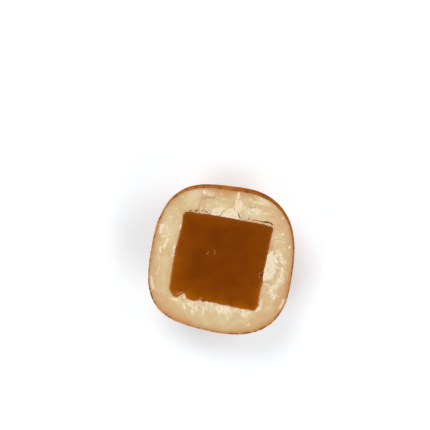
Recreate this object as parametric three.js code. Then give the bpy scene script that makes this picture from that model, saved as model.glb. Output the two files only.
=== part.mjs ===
// Half of a caramel dragee, a sweet cut through its middle: a caramel block in a thick pale coat under
// a thin brown glaze. It lies on its rounded back with the cut face up.
// Millimetres, +Z up. +X is the right and +Y the top of the cut face. The origin is on the surface that
// the half lies on, under the middle of its outline.
import * as THREE from "three";
import { LoftGeometry } from "three/addons/geometries/LoftGeometry.js";

// The half sweet: its size on the cut face, how far its back would reach with no flat spot to lie on, and
// how much that spot takes off
const WIDTH = 23.0;
const HEIGHT = 23.68;
const BACK_REACH = 11.6;
const REST_TRIM = 0.2;
const CUT_LEVEL = BACK_REACH - REST_TRIM;

// How square the form is, where 2 is an ellipse: each corner of the outline, counterclockwise from the
// top right, and the curve from the cut to the back
const CORNER_FULLNESS = [2.35, 2.72, 3.46, 2.96];
const BACK_FULLNESS = 2.85;

// The outside isn't perfectly even: how far it swells and sinks, in waves round the outline and towards
// the back
const SWELL = 0.24;
const SWELL_WAVES = [
  { round: 3, start: -1.12, back: 0.12, share: 0.6 },
  { round: 5, start: 3.06, back: -0.16, share: 0.4 },
];

// The layers from the outside in, with a small clearance between neighbours
const GLAZE_THICKNESS = 0.4;
const CLEARANCE = 0.15;
const COAT_INSET = GLAZE_THICKNESS + CLEARANCE;

// The caramel block: the corners of its cut face, its depth behind the cut, its edges' rounding, and how
// square each corner is, counterclockwise from the top right
const CARAMEL_TOP_LEFT = new THREE.Vector2(-7.33, 6.72);
const CARAMEL_TOP_RIGHT = new THREE.Vector2(7.16, 6.47);
const CARAMEL_BOTTOM_LEFT = new THREE.Vector2(-7.76, -7.24);
const CARAMEL_BOTTOM_RIGHT = new THREE.Vector2(6.72, -7.47);
const CARAMEL_DEPTH = 7.0;
const CARAMEL_EDGE = 0.3;
const CARAMEL_FULLNESS = [40, 40, 14, 24];

// Patches of the coat that crumbled at the cut: the middle and half size of each, the share of that size
// over which a patch fades out, how deep the crumbs' pits are and how far they rise
const CRUMBLED_PATCHES = [
  { x: 0.4, y: 8.0, alongX: 4.6, alongY: 1.4 },
  { x: 8.6, y: -0.9, alongX: 1.6, alongY: 3.8 },
  { x: 0.2, y: -8.5, alongX: 5.4, alongY: 1.2 },
  { x: -9.8, y: 2.2, alongX: 0.9, alongY: 2.4 },
];
const PATCH_FADE = 0.6;
const CRUMB_PIT = 0.35;
const CRUMB_RISE = 0.2;
const CRUMB_SEED = 7;

// The layers' finishes
const GLAZE_FINISH = { color: 0x9c5814, roughness: 0.2, metalness: 0 };
const COAT_FINISH = { color: 0xdabf95, roughness: 0.6, metalness: 0 };
const CARAMEL_FINISH = { color: 0x823b06, roughness: 0.45, metalness: 0 };

// Facets: points round every section, sections up the outside, sections across the coat's cut face
const AROUND = 72;
const UP_THE_BACK = 10;
const ACROSS_THE_COAT = 10;

const ANGLES = Array.from({ length: AROUND }, (_, step) => (step / AROUND) * 2 * Math.PI);

// A point on a rounded unit square, at an angle that is 45 degrees at its first corner.
function roundedSquare(angle, cornerFullness) {
  const point = new THREE.Vector2(Math.cos(angle), Math.sin(angle));
  const fullness = cornerFullness[Math.floor((angle / (2 * Math.PI)) * cornerFullness.length)];
  const reach = Math.abs(point.x) ** fullness + Math.abs(point.y) ** fullness;
  return point.multiplyScalar(reach ** (-1 / fullness));
}

// How much of its full size the section has at a depth behind the cut, as a share.
function taper(depth, reach) {
  return (1 - (depth / reach) ** BACK_FULLNESS) ** (1 / BACK_FULLNESS);
}

// How far the outside stands out or in at an angle and a depth behind the cut.
function swell(angle, depth) {
  const wave = ({ round, start, back, share }) => share * Math.sin(round * angle + start + back * depth);
  return SWELL * SWELL_WAVES.reduce((sum, entry) => sum + wave(entry), 0);
}

// A section of the sweet parallel to the cut, an inset under its surface and a depth behind the cut.
function bodySection(inset, depth) {
  const size = taper(depth, BACK_REACH - inset);
  return ANGLES.map((angle) => {
    const { x, y } = roundedSquare(angle, CORNER_FULLNESS);
    const outwards = swell(angle, depth) - inset;
    const place = new THREE.Vector3(x * (WIDTH / 2 + outwards), y * (HEIGHT / 2 + outwards), 0);
    return place.multiplyScalar(size).setZ(CUT_LEVEL - depth);
  });
}

// The sections of the sweet's rounded back, from its flat spot up to the cut.
function backSections(inset) {
  const reach = BACK_REACH - inset;
  const deepest = CUT_LEVEL - inset;
  const steepest = Math.asin((deepest / reach) ** (BACK_FULLNESS / 2));
  return Array.from({ length: UP_THE_BACK + 1 }, (_, step) => {
    const slope = steepest * (1 - step / UP_THE_BACK);
    return bodySection(inset, reach * Math.sin(slope) ** (2 / BACK_FULLNESS));
  });
}

// A section of the caramel block, grown by some amount all round, at a level.
function blockSection(grown, level) {
  return ANGLES.map((angle) => {
    const place = roundedSquare(angle, CARAMEL_FULLNESS);
    const right = (1 + place.x) / 2;
    const bottom = CARAMEL_BOTTOM_LEFT.clone().lerp(CARAMEL_BOTTOM_RIGHT, right);
    const top = CARAMEL_TOP_LEFT.clone().lerp(CARAMEL_TOP_RIGHT, right);
    const point = bottom.lerp(top, (1 + place.y) / 2).addScaledVector(place, grown);
    return new THREE.Vector3(point.x, point.y, level);
  });
}

// A section shrunk to one point at its level, which closes the end of a loft.
function closingPoint(level) {
  return ANGLES.map(() => new THREE.Vector3(0, 0, level));
}

// How far a place on the coat's cut face lies above or below the cut.
function crumbRelief(x, y) {
  const nearness = CRUMBLED_PATCHES.map((patch) => {
    const away = Math.hypot((x - patch.x) / patch.alongX, (y - patch.y) / patch.alongY);
    return THREE.MathUtils.smoothstep(1 + PATCH_FADE / 2 - away, 0, PATCH_FADE);
  });
  const height = THREE.MathUtils.lerp(-CRUMB_PIT, CRUMB_RISE, THREE.MathUtils.seededRandom());
  return Math.max(...nearness) * height;
}

// The sections across the coat's cut face, between its outer edge and the hollow for the caramel.
function coatFaceSections(outer, inner) {
  THREE.MathUtils.seededRandom(CRUMB_SEED);
  return Array.from({ length: ACROSS_THE_COAT - 1 }, (_, step) => {
    const share = (step + 1) / ACROSS_THE_COAT;
    return outer.map((point, index) => {
      const place = point.clone().lerp(inner[index], share);
      return place.setZ(CUT_LEVEL + crumbRelief(place.x, place.y));
    });
  });
}

// The thin brown skin: up the outside from the flat spot, over its edge at the cut, and down its inside.
function glazeGeometry() {
  return new LoftGeometry([
    closingPoint(0),
    ...backSections(0),
    ...backSections(GLAZE_THICKNESS).reverse(),
    closingPoint(GLAZE_THICKNESS),
  ]);
}

// The thick coat: up its outside, across its crumbled cut face, and down into the hollow for the caramel.
function coatGeometry() {
  const outside = backSections(COAT_INSET);
  const hollowEdge = blockSection(CLEARANCE, CUT_LEVEL);
  const hollowFloor = CUT_LEVEL - CARAMEL_DEPTH - CLEARANCE;
  return new LoftGeometry([
    closingPoint(COAT_INSET),
    ...outside,
    ...coatFaceSections(outside.at(-1), hollowEdge),
    hollowEdge,
    blockSection(CLEARANCE, CUT_LEVEL - CARAMEL_DEPTH / 2),
    blockSection(CLEARANCE, hollowFloor + CARAMEL_EDGE),
    blockSection(CLEARANCE - CARAMEL_EDGE, hollowFloor),
    closingPoint(hollowFloor),
  ]);
}

// The caramel block: from its underside up its walls to its cut face, with slightly rounded edges.
function caramelGeometry() {
  const underside = CUT_LEVEL - CARAMEL_DEPTH;
  return new LoftGeometry([
    closingPoint(underside),
    blockSection(-CARAMEL_EDGE, underside),
    blockSection(0, underside + CARAMEL_EDGE),
    blockSection(0, CUT_LEVEL - CARAMEL_DEPTH / 2),
    blockSection(0, CUT_LEVEL - CARAMEL_EDGE / 2),
    blockSection(-CARAMEL_EDGE / 2, CUT_LEVEL),
    closingPoint(CUT_LEVEL),
  ]);
}

// A named layer with a finish of its own.
function layer(name, geometry, finish) {
  const mesh = new THREE.Mesh(geometry, new THREE.MeshStandardMaterial(finish));
  mesh.name = name;
  return mesh;
}

const dragee = new THREE.Group();
dragee.add(layer("brown_glaze", glazeGeometry(), GLAZE_FINISH));
dragee.add(layer("cream_coat", coatGeometry(), COAT_FINISH));
dragee.add(layer("caramel_centre", caramelGeometry(), CARAMEL_FINISH));

export default dragee;
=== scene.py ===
"""Looks of a halved caramel dragee, which lies on its rounded back with its cut face up.

Sizes in the classes are millimetres and become metres where a mesh is made. +X is the right and +Y the
top of the cut face, and +Z is up, as in the solid model.
"""

import itertools
import logging
import math
from dataclasses import dataclass, field
from enum import Enum

import bpy
import numpy as np
from mathutils import Matrix, Vector, noise


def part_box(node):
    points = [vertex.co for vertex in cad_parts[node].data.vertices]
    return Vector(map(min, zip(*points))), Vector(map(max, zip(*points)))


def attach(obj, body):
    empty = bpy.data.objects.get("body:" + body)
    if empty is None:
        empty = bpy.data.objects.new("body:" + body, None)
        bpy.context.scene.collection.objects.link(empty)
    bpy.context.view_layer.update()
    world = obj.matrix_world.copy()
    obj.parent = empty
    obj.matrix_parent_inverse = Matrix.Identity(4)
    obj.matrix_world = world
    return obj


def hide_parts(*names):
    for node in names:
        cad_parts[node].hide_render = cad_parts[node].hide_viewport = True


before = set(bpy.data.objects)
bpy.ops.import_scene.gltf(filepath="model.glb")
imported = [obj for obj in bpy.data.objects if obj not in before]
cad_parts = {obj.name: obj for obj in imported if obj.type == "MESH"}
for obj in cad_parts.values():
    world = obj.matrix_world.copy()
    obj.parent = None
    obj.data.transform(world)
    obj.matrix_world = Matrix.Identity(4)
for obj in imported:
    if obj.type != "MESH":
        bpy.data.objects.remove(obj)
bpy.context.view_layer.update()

Array = np.ndarray
Colour = tuple[int, int, int]
Place = tuple[float, float]
Span = tuple[float, float]
Values = float | np.ndarray
Socket = bpy.types.NodeSocket
Input = bpy.types.NodeSocket | float | tuple

MM = 0.001
QUARTER = math.pi / 2
IMAGE_SIDE = 430

# How rough chance hills are, and how much finer each layer of them is than the one before
HILL_ROUGHNESS = 0.9
HILL_FINENESS = 2.1

# How far apart the lots of neighbouring cells are drawn, and how far off a cell's own rank is drawn
LOT_SPREAD = 57.0
RANK_SHIFT = Vector((3.0, 5.0, 7.0))

# Sockets of the mix node when it mixes colours
MIX_SHARE, MIX_FIRST, MIX_SECOND, MIX_RESULT = 0, 6, 7, 2

log = logging.getLogger("dragee")


class Layer(Enum):
    """Nodes of the solid model, by what they are made of."""

    GLAZE = "brown_glaze"
    COAT = "cream_coat"
    CARAMEL = "caramel_centre"


class Slot(Enum):
    """Material slots of the record."""

    GLAZE = "brown_glaze"
    COAT = "cream_coat"
    CARAMEL = "caramel"


class Mask(Enum):
    """Values that are stored at the points of a mesh for its material."""

    CRUMB = "crumb"
    # Painted highlights on the coat's crumbs, flakes, streaks and spots
    PAINTED_HIGHLIGHT = "bright"
    RIM = "rim"
    BLUSH = "blush"
    # Painted shade: in the coat's gaps, valleys, folds and shaded zones, and on the glaze near the cut
    SHADE = "shade"
    LIP = "lip"
    # Painted shade: in the coat's cracks, in the caramel's hole and along the caramel's top edge
    CREVICE_SHADE = "crevice"
    AMBER = "amber"
    CUT = "cut"


class Join(Enum):
    """Ways to join two values in a material."""

    ADD = "ADD"
    MULTIPLY = "MULTIPLY"


def rise(value: Array, start: float, end: float) -> Array:
    """Runs smoothly from 0 at start to 1 at end."""
    share = np.clip((value - start) / (end - start), 0.0, 1.0)
    return share * share * (3.0 - 2.0 * share)


def hill(distance: Array, width: float) -> Array:
    """Falls smoothly from 1 at no distance to nearly 0 at twice the width."""
    return np.exp(-((distance / width) ** 2))


def between(span: Span, share: Values) -> Values:
    """Runs evenly from a span's start, where the share is 0, to its end, where the share is 1."""
    return span[0] + (span[1] - span[0]) * share


def away_from(points: Array, place: Place) -> Array:
    """How far rows of x and y are from a place."""
    return np.hypot(points[:, 0] - place[0], points[:, 1] - place[1])


def at_level(points: Array, level: Values) -> Array:
    """Adds a height to rows of x and y."""
    return np.concatenate([points, np.broadcast_to(level, len(points))[:, None]], -1)


def turn_of(around: int) -> Array:
    """Equal steps of angle round a section."""
    return np.arange(around) * (2.0 * math.pi / around)


def turned_to(angles: Array, side: float) -> Array:
    """How far angles turn to a side: 1 at the side and 0 opposite it."""
    return 0.5 + 0.5 * np.cos(angles - side)


def linear(colour: Colour) -> tuple[float, ...]:
    """Turns a colour in 0 to 255 into Blender's linear colour, by the standard curve of screens."""
    parts = [part / 255.0 for part in colour]
    return *(p / 12.92 if p <= 0.04045 else ((p + 0.055) / 1.055) ** 2.4 for p in parts), 1.0


def store(mesh: bpy.types.Mesh, mask: Mask, values: Array, first: int = 0) -> None:
    """Keeps one value at each point of a mesh, for the mesh's material.

    Args:
        mesh: the mesh.
        mask: what the values are for.
        values: the values, in the order of the points.
        first: the point that the first value is for. Points without a value get 0.
    """
    padded = np.zeros(len(mesh.vertices), np.float32)
    padded[first:first + len(values)] = values
    mesh.attributes.new(mask.value, "FLOAT", "POINT").data.foreach_set("value", padded)


def loft(name: str, rings: Array) -> bpy.types.Mesh:
    """Makes a closed mesh from rings of points, with a fan over the first and the last ring.

    Args:
        name: the mesh's name.
        rings: millimetres, ring by point by axis, each counterclockwise seen from the last ring's side.

    Returns:
        The mesh in metres, smooth shaded. Its last two points are the fans' middles.
    """
    count, around = rings.shape[:2]
    here = np.arange(around)
    after = (here + 1) % around
    below = (np.arange(count - 1) * around)[:, None]
    quads = np.stack([below + here, below + after, below + around + after, below + around + here], -1)
    first_middle = count * around
    last = (count - 1) * around
    first_fan = np.stack([after, here, np.full(around, first_middle)], -1)
    last_fan = np.stack([last + here, last + after, np.full(around, first_middle + 1)], -1)
    middles = np.stack([rings[0].mean(0), rings[-1].mean(0)])
    points = np.concatenate([rings.reshape(-1, 3), middles]) * MM
    mesh = bpy.data.meshes.new(name)
    faces = quads.reshape(-1, 4).tolist() + first_fan.tolist() + last_fan.tolist()
    mesh.from_pydata(points.tolist(), [], faces)
    mesh.polygons.foreach_set("use_smooth", np.ones(len(mesh.polygons), bool))
    mesh.update()
    return mesh


def place_piece(
    mesh: bpy.types.Mesh, material: bpy.types.Material, layer: Layer | None = None
) -> bpy.types.Object:
    """Puts a dressed piece into the scene, on the model's only body.

    Args:
        mesh: the piece's mesh, whose name it takes.
        material: its finish.
        layer: the node of the solid model that the piece stands for, if it does.

    Returns:
        The piece.
    """
    piece = bpy.data.objects.new(mesh.name, mesh)
    bpy.context.scene.collection.objects.link(piece)
    mesh.materials.append(material)
    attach(piece, "root")
    if layer:
        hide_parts(layer.value)
    return piece


@dataclass(frozen=True)
class Unevenness:
    """Chance hills and dips of a surface.

    How far apart the hills are comes first, then how many finer layers they have, where the pattern
    starts, so that two uses differ, and how strong it is.
    """

    size: float
    layers: int
    start: float = 0.0
    amount: float = 1.0

    def at(self, points: Array) -> Array:
        """Samples the hills.

        Args:
            points: rows of x, y, z, or of x and y alone.

        Returns:
            One value for each row, about -1 to 1 times the amount.
        """
        rows = points if points.shape[1] == 3 else at_level(points, 0.0)
        scaled = rows / self.size + self.start
        hills = [noise.fractal(Vector(row), HILL_ROUGHNESS, HILL_FINENESS, self.layers) for row in scaled]
        return self.amount * np.array(hills)


@dataclass(frozen=True)
class Grain:
    """A chance pattern in a material.

    How far apart its hills are comes first, then how many finer layers it has, how far it is drawn out of
    shape, and which of its values, about 0.3 to 0.7, become 0 and 1.
    """

    size: float
    detail: float
    wander: float = 0.0
    stretch: Span = (0.0, 1.0)


class NodeGraph:
    """The nodes of a material or of the surroundings."""

    def __init__(self, owner: bpy.types.ID, place: str = "Object") -> None:
        """Starts with nothing but the coordinates that patterns follow.

        Args:
            owner: the material or world that the nodes belong to.
            place: the name of the coordinates.
        """
        owner.use_nodes = True
        self.owner = owner
        self.nodes = owner.node_tree.nodes
        self.links = owner.node_tree.links
        self.nodes.clear()
        self.place = self.add("ShaderNodeTexCoord").outputs[place]

    def feed(self, socket: Socket, value: Input) -> None:
        """Links another node's output to a socket, or sets the socket to a plain value.

        Args:
            socket: the socket.
            value: the output or the plain value.
        """
        if isinstance(value, Socket):
            self.links.new(value, socket)
        else:
            socket.default_value = value

    def add(self, kind: str, **inputs: Input) -> bpy.types.Node:
        """Adds a node.

        Args:
            kind: the node's type.
            **inputs: what its sockets get, with underscores for the blanks in their names.

        Returns:
            The node.
        """
        node = self.nodes.new(kind)
        for name, value in inputs.items():
            self.feed(node.inputs[name.replace("_", " ")], value)
        return node

    def mask(self, mask: Mask) -> Socket:
        """Reads a value that is stored at the mesh's points.

        Args:
            mask: which value.

        Returns:
            The value, 0 to 1.
        """
        node = self.add("ShaderNodeAttribute")
        node.attribute_name = mask.value
        return node.outputs["Fac"]

    def grain(self, grain: Grain) -> Socket:
        """Adds a pattern without its stretch, so that its middle is at 0.5.

        Args:
            grain: the pattern.

        Returns:
            The pattern's value.
        """
        node = self.add("ShaderNodeTexNoise", Vector=self.place, Scale=1.0 / (grain.size * MM))
        self.feed(node.inputs["Detail"], grain.detail)
        self.feed(node.inputs["Distortion"], grain.wander)
        return node.outputs[0]

    def pattern(self, grain: Grain) -> Socket:
        """Adds a pattern with its stretch, so that it runs from 0 to 1."""
        return self.steps(self.grain(grain), grain.stretch)

    def steps(self, value: Socket, span: Span) -> Socket:
        """Stretches a value so that a span's start becomes 0 and its end 1, smoothly and no further.

        Args:
            value: the value.
            span: the span.

        Returns:
            The stretched value.
        """
        node = self.add("ShaderNodeMapRange", Value=value, From_Min=span[0], From_Max=span[1])
        node.interpolation_type = "SMOOTHSTEP"
        return node.outputs["Result"]

    def join(self, way: Join, first: Input, second: Input) -> Socket:
        """Joins two values.

        Args:
            way: how they are joined.
            first: a number or a socket.
            second: a number or a socket.

        Returns:
            The joined value, kept within 0 and 1.
        """
        node = self.add("ShaderNodeMath")
        node.operation = way.value
        node.use_clamp = True
        self.feed(node.inputs[0], first)
        self.feed(node.inputs[1], second)
        return node.outputs[0]

    def mix(self, share: Input, first: Input, second: Input) -> Socket:
        """Mixes two colours.

        Args:
            share: how much of the second colour, 0 to 1.
            first: a colour in 0 to 255 or a socket.
            second: a colour in 0 to 255 or a socket.

        Returns:
            The mixed colour.
        """
        node = self.add("ShaderNodeMix")
        node.data_type = "RGBA"
        self.feed(node.inputs[MIX_SHARE], share)
        for place, colour in ((MIX_FIRST, first), (MIX_SECOND, second)):
            self.feed(node.inputs[place], colour if isinstance(colour, Socket) else linear(colour))
        return node.outputs[MIX_RESULT]

    def layers(self, ground: Input, *covers: tuple[Input, Input]) -> Socket:
        """Lays colours over each other.

        Args:
            ground: the lowest colour.
            *covers: pairs of a share and the colour that covers that share of what is below it.

        Returns:
            The colour that shows.
        """
        for share, colour in covers:
            ground = self.mix(share, ground, colour)
        return ground

    def gloss(self, most: float, dull: Span) -> Socket:
        """A gloss that fades as the surface turns away: gone at the span's start and full at its end."""
        turned = self.add("ShaderNodeLayerWeight").outputs["Facing"]
        return self.join(Join.MULTIPLY, self.steps(turned, dull), most)

    def bump(self, grain: Grain, depth: float) -> Socket:
        """Turns a pattern into a bumped normal, for a full depth in millimetres."""
        height = self.grain(grain)
        return self.add("ShaderNodeBump", Height=height, Strength=1.0, Distance=depth * MM).outputs["Normal"]

    def finish(self, **inputs: Input) -> bpy.types.Material:
        """Ends a material in a principled shader.

        Args:
            **inputs: what the shader's sockets get, with underscores for the blanks in their names.

        Returns:
            The material.
        """
        shader = self.add("ShaderNodeBsdfPrincipled", **inputs)
        self.add("ShaderNodeOutputMaterial", Surface=shader.outputs[0])
        return self.owner


@dataclass(frozen=True)
class GlazeFinish:
    """Glossy brown glaze, mottled from amber to dark brown, with painted shade near the cut on one side, and
    pale with dark specks where it is cut.
    """

    dark: Colour = (154, 77, 6)
    middle: Colour = (182, 102, 16)
    light: Colour = (200, 128, 46)
    # Painted shade, laid near the cut on the glaze's brown side and streaked by the speckles
    deep: Colour = (120, 57, 6)
    cut: Colour = (198, 147, 92)
    cut_dark: Colour = (130, 76, 28)
    patches: Grain = Grain(2.6, 3.0, 0.3, (0.28, 0.72))
    speckles: Grain = Grain(0.9, 3.0, 0.4, (0.35, 0.8))
    specks: Grain = Grain(0.55, 2.0, 0.2, (0.38, 0.54))
    least_shade: float = 0.35
    gloss: float = 0.3
    dull: Span = (0.85, 0.4)
    peel: Grain = Grain(1.3, 2.0)
    peel_depth: float = 0.012

    def material(self) -> bpy.types.Material:
        """Builds the glaze's material.

        Returns:
            The material.
        """
        graph = NodeGraph(bpy.data.materials.new("glaze"))
        patches = graph.pattern(self.patches)
        speckles = graph.pattern(self.speckles)
        streaky = graph.join(Join.ADD, speckles, self.least_shade)
        colour = graph.layers(
            graph.mix(patches, self.dark, self.middle),
            (graph.join(Join.MULTIPLY, patches, speckles), self.light),
            (graph.join(Join.MULTIPLY, graph.mask(Mask.SHADE), streaky), self.deep),
            (graph.mask(Mask.CUT), graph.mix(graph.pattern(self.specks), self.cut_dark, self.cut)),
        )
        return graph.finish(
            Base_Color=colour,
            Roughness=0.4,
            Specular_IOR_Level=0.0,
            Coat_Weight=graph.gloss(self.gloss, self.dull),
            Coat_Roughness=0.06,
            Coat_IOR=1.4,
            Normal=graph.bump(self.peel, self.peel_depth),
        )


@dataclass(frozen=True)
class CoatFinish:
    """Waxy ivory coat: whiter where it crumbled, tan towards the glaze, warm at the caramel's edge, with
    painted highlights on its crumbs and painted shade in its gaps, folds and cracks.
    """

    ivory: Colour = (215, 197, 152)
    honey: Colour = (209, 183, 138)
    blush: Colour = (206, 159, 111)
    tan: Colour = (184, 122, 60)
    stain: Colour = (196, 142, 84)
    stain_dark: Colour = (126, 76, 30)
    # Painted shade in crumb gaps and valleys, along folds and in the shaded zones
    shade: Colour = (184, 148, 114)
    lip: Colour = (200, 143, 96)
    white: Colour = (232, 217, 191)
    # Painted highlight, laid on high crumbs, flakes, streaks and spots
    bright: Colour = (246, 225, 191)
    # Painted shade inside the cracks, over the brown of the caramel that shows in them
    crack: Colour = (156, 92, 44)
    crack_shadow: Colour = (66, 31, 12)
    clouds: Grain = Grain(1.2, 4.0, 0.6, (0.36, 0.64))
    drift: Grain = Grain(2.6, 3.0, 0.4)
    least_drift: float = 0.5
    flecks: Grain = Grain(0.55, 3.0, 0.2, (0.38, 0.54))
    crack_from: Span = (0.0, 0.5)
    crack_shadow_from: Span = (0.4, 1.0)
    grit: Grain = Grain(0.35, 3.0)
    grit_depth: float = 0.02
    glow_depth: float = 0.5

    def material(self) -> bpy.types.Material:
        """Builds the coat's material.

        Returns:
            The material.
        """
        graph = NodeGraph(bpy.data.materials.new("coat"))
        drift = graph.join(Join.ADD, graph.grain(self.drift), self.least_drift)
        crevice = graph.mask(Mask.CREVICE_SHADE)
        colour = graph.layers(
            graph.mix(graph.pattern(self.clouds), self.honey, self.ivory),
            (graph.mask(Mask.BLUSH), self.blush),
            (graph.join(Join.MULTIPLY, graph.mask(Mask.RIM), drift), self.tan),
            (graph.mask(Mask.CUT), graph.mix(graph.pattern(self.flecks), self.stain_dark, self.stain)),
            (graph.mask(Mask.SHADE), self.shade),
            (graph.mask(Mask.LIP), self.lip),
            (graph.mask(Mask.CRUMB), self.white),
            # Painted highlights, then painted shade in the cracks
            (graph.mask(Mask.PAINTED_HIGHLIGHT), self.bright),
            (graph.steps(crevice, self.crack_from), self.crack),
            (graph.steps(crevice, self.crack_shadow_from), self.crack_shadow),
        )
        return graph.finish(
            Base_Color=colour,
            Roughness=0.42,
            Specular_IOR_Level=0.5,
            Subsurface_Weight=0.2,
            Subsurface_Radius=(1.0, 0.6, 0.3),
            Subsurface_Scale=self.glow_depth * MM,
            Normal=graph.bump(self.grit, self.grit_depth),
        )


@dataclass(frozen=True)
class CaramelFinish:
    """Smooth brown caramel, amber towards its edges, with thin smears of the coat, and painted shade in its
    small hole and along its top edge.
    """

    brown: Colour = (120, 56, 2)
    deep: Colour = (110, 49, 2)
    amber: Colour = (152, 79, 2)
    smear: Colour = (226, 172, 116)
    # Painted shade, for the small hole and for the coat's shadow along the top edge
    hollow: Colour = (92, 44, 12)
    clouds: Grain = Grain(2.8, 4.0, 0.3, (0.36, 0.66))
    gloss: float = 0.2
    dull: Span = (0.9, 0.5)
    ripples: Grain = Grain(0.8, 2.0)
    ripple_depth: float = 0.008
    glow_depth: float = 0.6

    def material(self) -> bpy.types.Material:
        """Builds the caramel's material.

        Returns:
            The material.
        """
        graph = NodeGraph(bpy.data.materials.new("caramel"))
        colour = graph.layers(
            graph.mix(graph.pattern(self.clouds), self.brown, self.deep),
            (graph.mask(Mask.AMBER), self.amber),
            (graph.mask(Mask.CRUMB), self.smear),
            (graph.mask(Mask.CREVICE_SHADE), self.hollow),
        )
        return graph.finish(
            Base_Color=colour,
            Roughness=0.4,
            Specular_IOR_Level=0.0,
            Coat_Weight=graph.gloss(self.gloss, self.dull),
            Coat_Roughness=0.3,
            Coat_IOR=1.4,
            Subsurface_Weight=0.15,
            Subsurface_Radius=(1.0, 0.4, 0.1),
            Subsurface_Scale=self.glow_depth * MM,
            Normal=graph.bump(self.ripples, self.ripple_depth),
        )


@dataclass(frozen=True)
class CrumbFinish:
    """Dry, nearly white crumbs."""

    white: Colour = (242, 226, 194)
    cream: Colour = (224, 200, 160)
    grit: Grain = Grain(0.4, 2.0, 0.0, (0.45, 0.75))

    def material(self) -> bpy.types.Material:
        """Builds the crumbs' material.

        Returns:
            The material.
        """
        graph = NodeGraph(bpy.data.materials.new("crumbs"))
        return graph.finish(
            Base_Color=graph.mix(graph.pattern(self.grit), self.white, self.cream),
            Roughness=0.6,
            Specular_IOR_Level=0.3,
        )


@dataclass(frozen=True)
class FloorFinish:
    """Plain white floor with a faint glow of its own, which keeps shadows soft."""

    white: Colour = (246, 250, 252)
    off_white: Colour = (243, 246, 248)
    clouds: Grain = Grain(60.0, 2.0, 0.0, (0.3, 0.7))
    glow_tint: Colour = (226, 246, 255)
    glow: float = 0.14

    def material(self) -> bpy.types.Material:
        """Builds the floor's material.

        Returns:
            The material.
        """
        graph = NodeGraph(bpy.data.materials.new("floor"))
        return graph.finish(
            Base_Color=graph.mix(graph.pattern(self.clouds), self.white, self.off_white),
            Roughness=0.7,
            Specular_IOR_Level=0.2,
            Emission_Color=linear(self.glow_tint),
            Emission_Strength=self.glow,
        )


def rounded_square(angles: Array, corner_fullness: tuple[float, ...]) -> Array:
    """Points on a rounded unit square.

    Args:
        angles: 45 degrees is the first corner, at the top right.
        corner_fullness: how square each corner is, counterclockwise, where 2 is an ellipse.

    Returns:
        Rows of x and y.
    """
    quarter = np.floor(angles / QUARTER).astype(int) % len(corner_fullness)
    fullness = np.asarray(corner_fullness)[quarter]
    points = np.stack([np.cos(angles), np.sin(angles)], -1)
    reach = (np.abs(points) ** fullness[:, None]).sum(-1) ** (-1.0 / fullness)
    return points * reach[:, None]


@dataclass(frozen=True)
class Wave:
    """A wave round the outside: its count of swells, its start, its turn to the back and its share."""

    swells: int
    start: float
    back: float
    share: float

    def at(self, angles: Array, depth: float) -> Array:
        """How far the wave stands out at angles and at a depth behind the cut."""
        return self.share * np.sin(self.swells * angles + self.start + self.back * depth)


@dataclass(frozen=True)
class SweetForm:
    """The sweet's outer form, with the solid model's values."""

    width: float = 23.0
    height: float = 23.68
    back_reach: float = 11.6
    corner_fullness: tuple[float, ...] = (2.35, 2.72, 3.46, 2.96)
    back_fullness: float = 2.85
    swell: float = 0.24
    waves: tuple[Wave, ...] = (Wave(3, -1.12, 0.12, 0.6), Wave(5, 3.06, -0.16, 0.4))

    @property
    def cut_level(self) -> float:
        """The height of the cut face, from the solid model."""
        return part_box(Layer.GLAZE.value)[1].z / MM

    def section(self, angles: Array, inset: Values, depth: float) -> Array:
        """A section parallel to the cut.

        Args:
            angles: where the points are.
            inset: how far under the surface they are.
            depth: how far behind the cut they are.

        Returns:
            Rows of x, y, z.
        """
        reach = self.back_reach - np.max(inset)
        size = (1.0 - min(depth / reach, 1.0) ** self.back_fullness) ** (1.0 / self.back_fullness)
        outwards = self.swell * sum(wave.at(angles, depth) for wave in self.waves) - inset
        half = np.stack([self.width / 2 + outwards, self.height / 2 + outwards], -1)
        points = rounded_square(angles, self.corner_fullness) * half * size
        return at_level(points, self.cut_level - depth)

    def back(self, angles: Array, inset: float, count: int) -> list[Array]:
        """The sections of the rounded back.

        Args:
            angles: where each section's points are.
            inset: how far under the surface the sections are.
            count: how many steps there are from the flat spot to the cut.

        Returns:
            The sections from the flat spot up, without the one at the cut.
        """
        reach = self.back_reach - inset
        steepest = math.asin(((self.cut_level - inset) / reach) ** (self.back_fullness / 2))
        slopes = [steepest * (1.0 - step / count) for step in range(count)]
        depths = [reach * math.sin(slope) ** (2.0 / self.back_fullness) for slope in slopes]
        return [self.section(angles, inset, depth) for depth in depths]


@dataclass(frozen=True)
class BlockForm:
    """The caramel block's form, with the solid model's values."""

    top_left: Place = (-7.33, 6.72)
    top_right: Place = (7.16, 6.47)
    bottom_left: Place = (-7.76, -7.24)
    bottom_right: Place = (6.72, -7.47)
    depth: float = 7.0
    edge: float = 0.3
    corner_fullness: tuple[float, ...] = (40.0, 40.0, 14.0, 24.0)

    # How evenly the block grows along its sides, where 1 is least even
    squareness: float = 8.0

    def section(self, angles: Array, grown: Values) -> Array:
        """The block's outline, grown by an amount.

        Args:
            angles: where the points are.
            grown: how far outside the block they are.

        Returns:
            Rows of x and y.
        """
        square = rounded_square(angles, self.corner_fullness)
        right = (1.0 + square[:, :1]) / 2
        up = (1.0 + square[:, 1:]) / 2
        bottom = np.asarray(self.bottom_left) * (1 - right) + np.asarray(self.bottom_right) * right
        top = np.asarray(self.top_left) * (1 - right) + np.asarray(self.top_right) * right
        outwards = np.sign(square) * np.abs(square) ** self.squareness
        return bottom * (1 - up) + top * up + outwards * np.reshape(grown, (-1, 1))


@dataclass(frozen=True)
class EdgeBump:
    """A place where the coat stands back from the caramel's edge, or in over it where back is under 0."""

    x: float
    y: float
    width: float
    back: float

    def at(self, points: Array) -> Array:
        """How far the coat stands back at rows of x and y."""
        return self.back * hill(away_from(points, (self.x, self.y)), self.width)


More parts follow.
